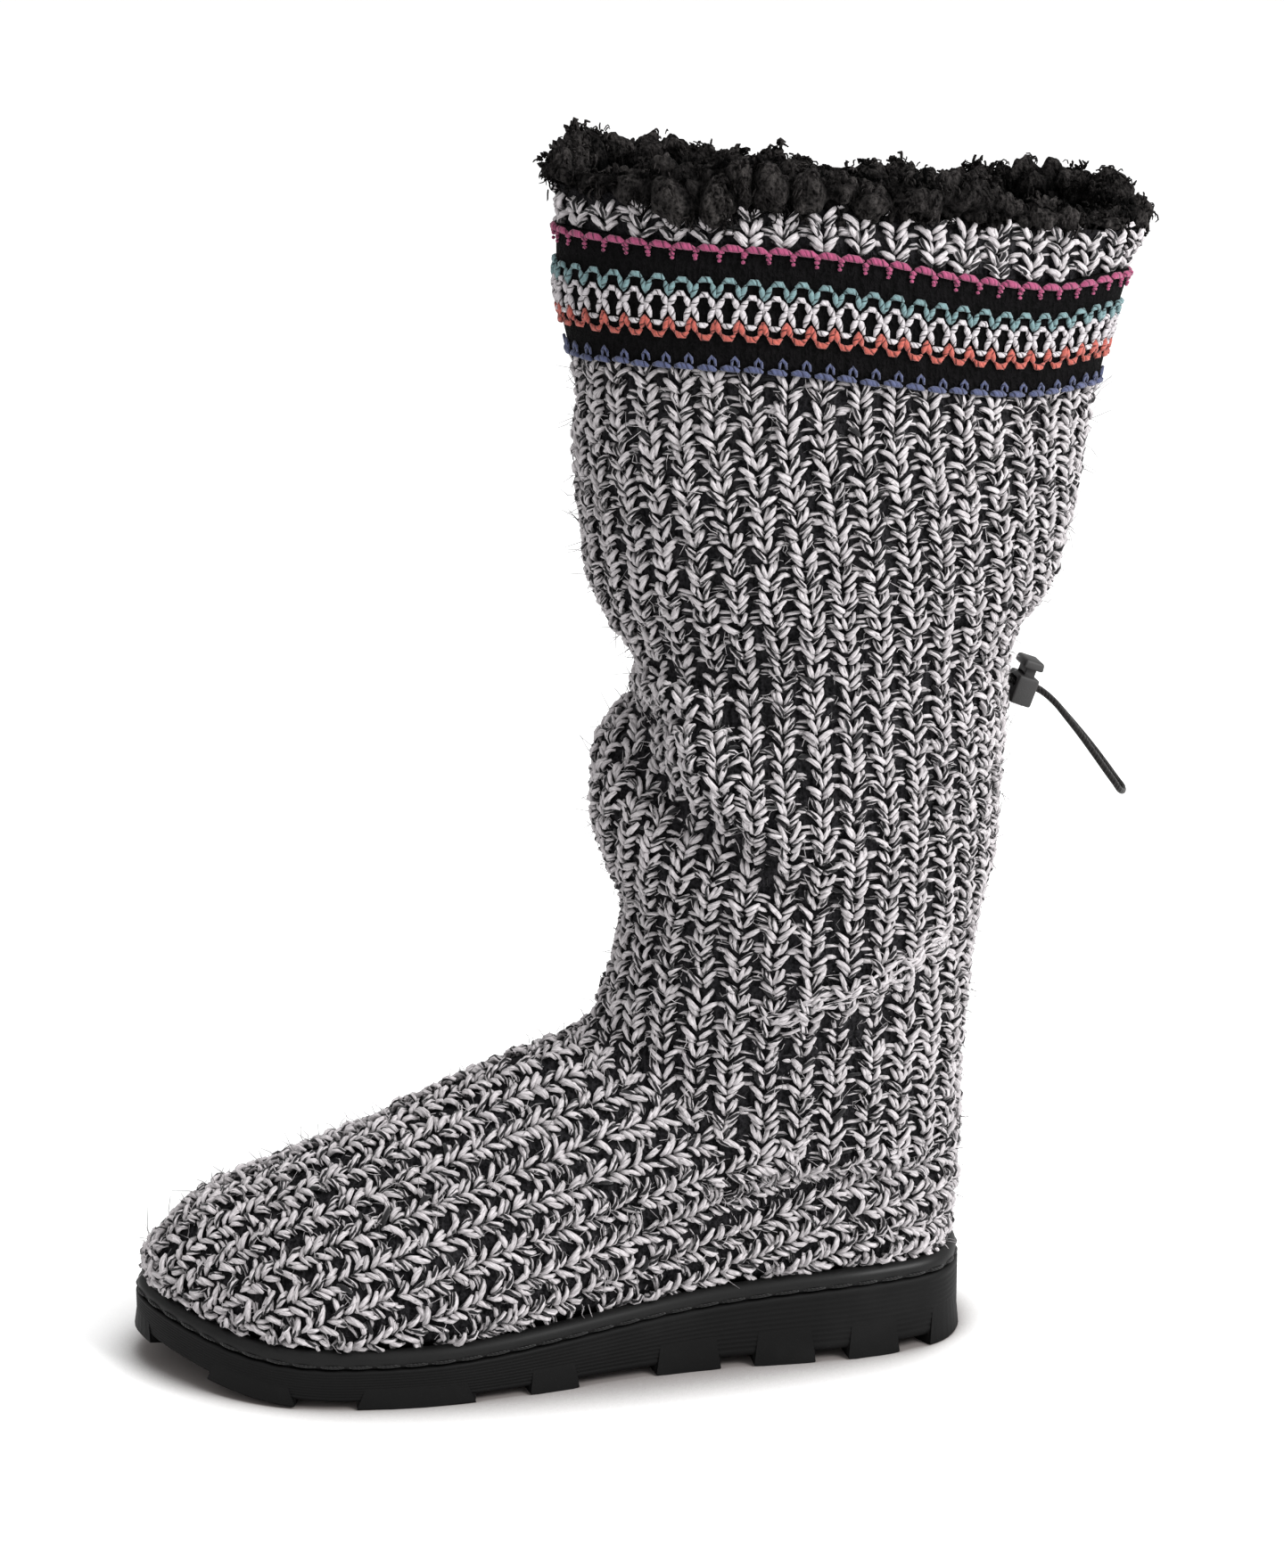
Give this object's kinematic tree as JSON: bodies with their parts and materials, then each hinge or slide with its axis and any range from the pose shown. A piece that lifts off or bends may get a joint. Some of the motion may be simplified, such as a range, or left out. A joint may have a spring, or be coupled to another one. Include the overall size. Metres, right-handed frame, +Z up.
{
  "type": "slipper boot",
  "caption": "Tall knitted slipper boot for the left foot, with fleece collar, crochet stripe band, drawcord with cord lock, welt and lugged rubber sole.",
  "frame": {"origin": "on the floor, under the middle of the boot's bounding box without its cord and cord lock", "axes": "+X towards the toe, +Y towards the outer side of the left foot, +Z up the leg"},
  "size_m": [0.3133, 0.098, 0.3756],
  "materials": {
    "outsole": "matte black moulded rubber",
    "welt": "smooth black synthetic piping with a low sheen",
    "insole": "black fleece over foam",
    "upper": "chunky knit in black and light grey marled yarn",
    "shaft": "chunky knit in black and light grey marled yarn",
    "stripe_band": "black ribbon with pink, teal, white, orange and blue crochet stripes",
    "fleece_cuff": "curly black fleece",
    "cord_lock_barrel": "dark grey moulded plastic",
    "cord_lock_plunger": "dark grey moulded plastic",
    "drawcord": "round black elastic cord"
  },
  "bodies": {
    "boot": {"outsole": "outsole", "welt": "welt", "insole": "insole", "upper": "upper", "shaft": "shaft", "stripe_band": "stripe_band", "fleece_cuff": "fleece_cuff", "cord_lock_barrel": "cord_lock_barrel", "drawcord": "drawcord"},
    "plunger": {"cord_lock_plunger": "cord_lock_plunger"}
  },
  "joints": [
    {"name": "plunger_press", "type": "slide", "parent": "boot", "child": "plunger", "axis": [0.342, 0, -0.9397], "range_m": [0, 0.0022], "stiffness_N_per_m": 400, "springref_m": -0.004}
  ]
}
